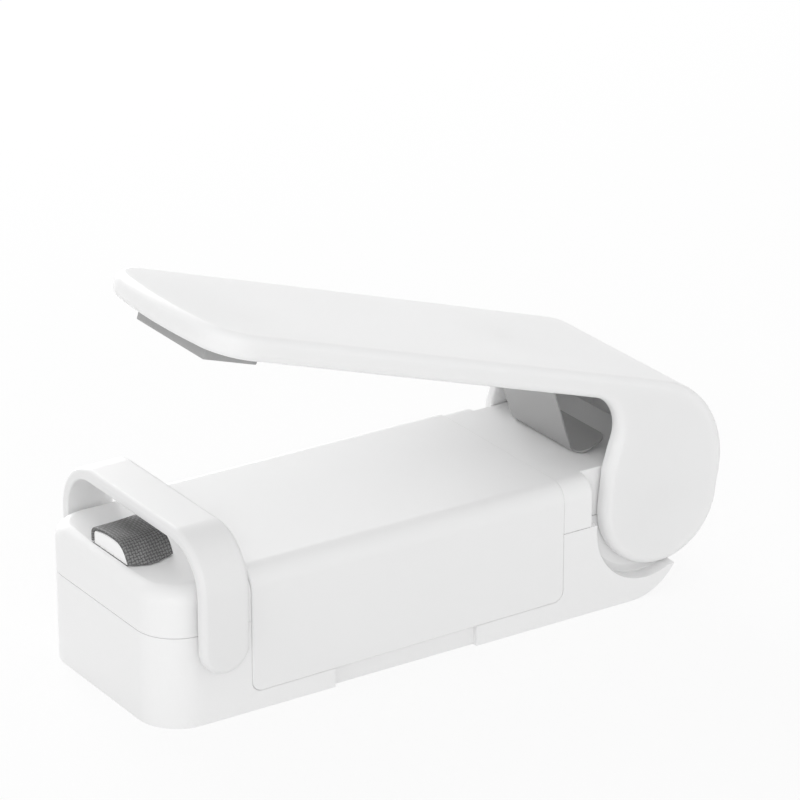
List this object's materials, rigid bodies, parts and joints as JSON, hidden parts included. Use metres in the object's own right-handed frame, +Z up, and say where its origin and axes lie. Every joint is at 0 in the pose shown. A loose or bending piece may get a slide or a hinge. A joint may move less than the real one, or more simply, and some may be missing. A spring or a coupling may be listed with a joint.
{
  "type": "mini bag sealer",
  "caption": "Pocket heat sealer for bags: long pressing arm hinged over a white battery body with a heated head, a swinging safety loop and a lift-off cover.",
  "frame": {"origin": "middle of the whole outline seen from above, on the surface that the base rests on", "axes": "+X from the sealing end to the hinge end, +Y across the body to the far side, +Z up"},
  "size_m": [0.1026, 0.0422, 0.0606],
  "materials": {
    "shell_plastic": "fine matt moulded white",
    "cover_plastic": "fine matt moulded white",
    "arm_plastic": "fine matt moulded white",
    "loop_plastic": "fine matt moulded white",
    "pad_silicone": "matt grey silicone",
    "heater_block": "matt white heat-proof block",
    "heater_cloth": "coated woven glass cloth",
    "leaf_steel": "rolled spring steel",
    "plain_steel": "bright zinc-plated steel",
    "contact_brass": "stamped sheet",
    "cell_sleeve": "plain shrink sleeve",
    "switch_plastic": "moulded black",
    "lead_black": "smooth insulation",
    "lead_red": "smooth insulation"
  },
  "bodies": {
    "base": {"lower_shell": "shell_plastic", "front_cap": "shell_plastic", "rear_cap": "shell_plastic", "loop_washer_near": "loop_plastic", "loop_washer_far": "loop_plastic", "hinge_axle": "plain_steel", "heater_carrier": "heater_block", "heating_ribbon": "plain_steel", "heater_cloth": "heater_cloth", "cell_near": "cell_sleeve", "cell_far": "cell_sleeve", "cell_spring_near": "plain_steel", "cell_spring_far": "plain_steel", "contact_bridge": "contact_brass", "contact_plate_near": "contact_brass", "contact_plate_far": "contact_brass", "switch_base": "switch_plastic", "switch_blade": "contact_brass", "switch_contact": "contact_brass", "lead_to_cells": "lead_black", "lead_to_switch": "lead_red", "lead_from_cells": "lead_red", "case_screw_front_near": "plain_steel", "case_screw_front_far": "plain_steel", "case_screw_rear_near": "plain_steel", "case_screw_rear_far": "plain_steel"},
    "arm": {"arm_shell": "arm_plastic", "sealing_pad": "pad_silicone", "return_leaf": "leaf_steel", "leaf_screw": "plain_steel"},
    "loop": {"safety_loop": "loop_plastic", "loop_pin_near": "plain_steel", "loop_pin_far": "plain_steel"},
    "cover": {"battery_cover": "cover_plastic"},
    "button": {"switch_button": "heater_block"}
  },
  "joints": [
    {"name": "arm_hinge", "type": "hinge", "parent": "base", "child": "arm", "pos_m": [0.03901, 0, 0.0159], "axis": [0, 1, 0], "range_deg": [-16, 0], "stiffness_Nm_per_rad": 0.15, "springref_deg": 5.73, "deforming": ["return_leaf"]},
    {"name": "loop_hinge", "type": "hinge", "parent": "base", "child": "loop", "pos_m": [-0.04169, 0, 0.0129], "axis": [0, -1, 0], "range_deg": [0, 100]},
    {"name": "cover_lift", "type": "slide", "parent": "base", "child": "cover", "axis": [0, 0, 1], "range_m": [0, 0.0075]},
    {"name": "button_press", "type": "slide", "parent": "base", "child": "button", "axis": [0, 0, -1], "range_m": [0, 0.0008], "stiffness_N_per_m": 300, "springref_m": -0.001, "deforming": ["switch_blade"]}
  ]
}
